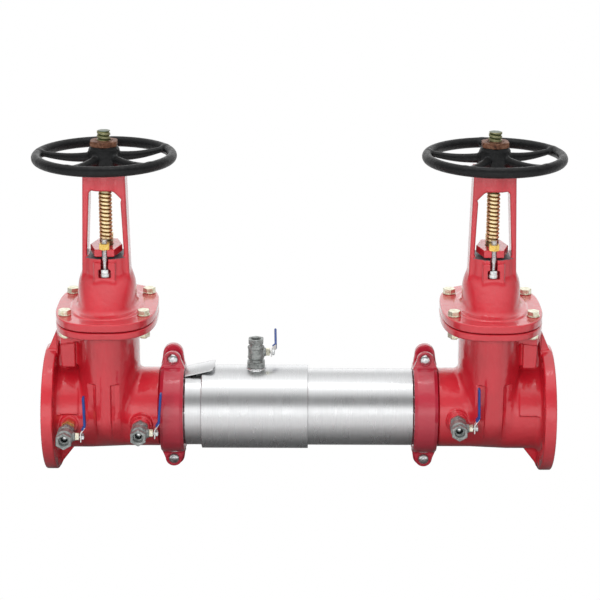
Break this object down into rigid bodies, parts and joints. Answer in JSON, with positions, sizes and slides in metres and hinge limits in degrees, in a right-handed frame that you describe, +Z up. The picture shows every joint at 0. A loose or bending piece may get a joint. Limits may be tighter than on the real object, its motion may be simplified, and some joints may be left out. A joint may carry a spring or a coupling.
{
  "type": "backflow preventer",
  "caption": "Double check backflow preventer: stainless check housing between rising-stem gate valves with handwheels, grooved couplings, end flanges and ball-valve test cocks.",
  "frame": {"origin": "on the pipe axis, midway between the two end flange faces", "axes": "+X along the flow from the inlet flange to the outlet flange, +Z up along the valve stems, and the horizontal test cocks face -Y"},
  "size_m": [1.1408, 0.3497, 0.762],
  "materials": {
    "red_enamel": "glossy red epoxy enamel over cast iron, slightly pebbled",
    "black_paint": "satin black paint over a rough casting",
    "brass": "turned brass, bright on the crests and darker in the roots",
    "bronze": "cast bronze, brown and dull",
    "stainless": "brushed stainless steel",
    "zinc_plate": "zinc plate with a faint yellow chromate tint",
    "dark_steel": "dull cast stainless with machined ends",
    "rubber": "black rubber",
    "blue_vinyl": "dipped blue vinyl"
  },
  "bodies": {
    "root": {"inlet_valve_body": "red_enamel", "inlet_bonnet": "red_enamel", "inlet_gland": "red_enamel", "inlet_coupling_front": "red_enamel", "inlet_coupling_rear": "red_enamel", "inlet_bonnet_gasket": "rubber", "inlet_packing": "rubber", "inlet_coupling_gasket": "rubber", "inlet_gland_bolt_a": "zinc_plate", "inlet_gland_bolt_b": "zinc_plate", "inlet_coupling_bolt_top": "zinc_plate", "inlet_coupling_bolt_bottom": "zinc_plate", "outlet_valve_body": "red_enamel", "outlet_bonnet": "red_enamel", "outlet_gland": "red_enamel", "outlet_coupling_front": "red_enamel", "outlet_coupling_rear": "red_enamel", "outlet_bonnet_gasket": "rubber", "outlet_packing": "rubber", "outlet_coupling_gasket": "rubber", "outlet_gland_bolt_a": "zinc_plate", "outlet_gland_bolt_b": "zinc_plate", "outlet_coupling_bolt_top": "zinc_plate", "outlet_coupling_bolt_bottom": "zinc_plate", "housing_tube": "stainless", "access_sleeve": "stainless", "sleeve_stop": "stainless", "sleeve_seal_upstream": "rubber", "sleeve_seal_downstream": "rubber", "check_1_seat": "bronze", "check_1_spring": "stainless", "check_2_seat": "bronze", "check_2_spring": "stainless", "test_cock_1_body": "dark_steel", "test_cock_2_body": "dark_steel", "test_cock_3_body": "dark_steel", "test_cock_4_body": "dark_steel", "test_cock_1_nipple": "brass"},
    "inlet_wheel": {"inlet_handwheel": "black_paint", "inlet_handwheel_nut": "bronze", "inlet_stem_nut": "bronze"},
    "inlet_gate": {"inlet_wedge": "brass", "inlet_stem": "brass"},
    "outlet_wheel": {"outlet_handwheel": "black_paint", "outlet_handwheel_nut": "bronze", "outlet_stem_nut": "bronze"},
    "outlet_gate": {"outlet_wedge": "brass", "outlet_stem": "brass"},
    "check_1_clapper": {"check_1_flap": "bronze", "check_1_flap_seal": "rubber"},
    "check_2_clapper": {"check_2_flap": "bronze", "check_2_flap_seal": "rubber"},
    "test_cock_1_handle": {"test_cock_1_lever": "blue_vinyl", "test_cock_1_ball": "zinc_plate"},
    "test_cock_2_handle": {"test_cock_2_lever": "blue_vinyl", "test_cock_2_ball": "zinc_plate"},
    "test_cock_3_handle": {"test_cock_3_lever": "blue_vinyl", "test_cock_3_ball": "zinc_plate"},
    "test_cock_4_handle": {"test_cock_4_lever": "blue_vinyl", "test_cock_4_ball": "zinc_plate"}
  },
  "joints": [
    {"name": "inlet_wheel_turn", "type": "hinge", "parent": "root", "child": "inlet_wheel", "pos_m": [-0.4157, 0, 0.566], "axis": [0, 0, 1], "range_deg": [0, 6480]},
    {"name": "inlet_gate_lift", "type": "slide", "parent": "root", "child": "inlet_gate", "axis": [0, 0, 1], "range_m": [0, 0.1525]},
    {"name": "outlet_wheel_turn", "type": "hinge", "parent": "root", "child": "outlet_wheel", "pos_m": [0.4157, 0, 0.566], "axis": [0, 0, 1], "range_deg": [0, 6480]},
    {"name": "outlet_gate_lift", "type": "slide", "parent": "root", "child": "outlet_gate", "axis": [0, 0, 1], "range_m": [0, 0.1525]},
    {"name": "test_cock_1_turn", "type": "hinge", "parent": "root", "child": "test_cock_1_handle", "pos_m": [-0.4967, -0.164, -0.009], "axis": [1, 0, 0], "range_deg": [0, 90]},
    {"name": "test_cock_2_turn", "type": "hinge", "parent": "root", "child": "test_cock_2_handle", "pos_m": [-0.341, -0.1425, -0.009], "axis": [1, 0, 0], "range_deg": [0, 90]},
    {"name": "test_cock_3_turn", "type": "hinge", "parent": "root", "child": "test_cock_3_handle", "pos_m": [-0.094, 0, 0.1265], "axis": [1, 0, 0], "range_deg": [-12, 78]},
    {"name": "test_cock_4_turn", "type": "hinge", "parent": "root", "child": "test_cock_4_handle", "pos_m": [0.343, -0.131, 0], "axis": [1, 0, 0], "range_deg": [0, 90]},
    {"name": "check_1_swing", "type": "hinge", "parent": "root", "child": "check_1_clapper", "pos_m": [-0.185, 0, 0.064], "axis": [0, -1, 0], "range_deg": [0, 60], "stiffness_Nm_per_rad": 1.2, "springref_deg": -85.94},
    {"name": "check_2_swing", "type": "hinge", "parent": "root", "child": "check_2_clapper", "pos_m": [0.044, 0, 0.064], "axis": [0, -1, 0], "range_deg": [0, 60], "stiffness_Nm_per_rad": 1.2, "springref_deg": -85.94}
  ],
  "couplings": [
    {"joint": "inlet_gate_lift", "follows": "inlet_wheel_turn", "m_per_rad": 0.0013475},
    {"joint": "outlet_gate_lift", "follows": "outlet_wheel_turn", "m_per_rad": 0.0013475}
  ]
}
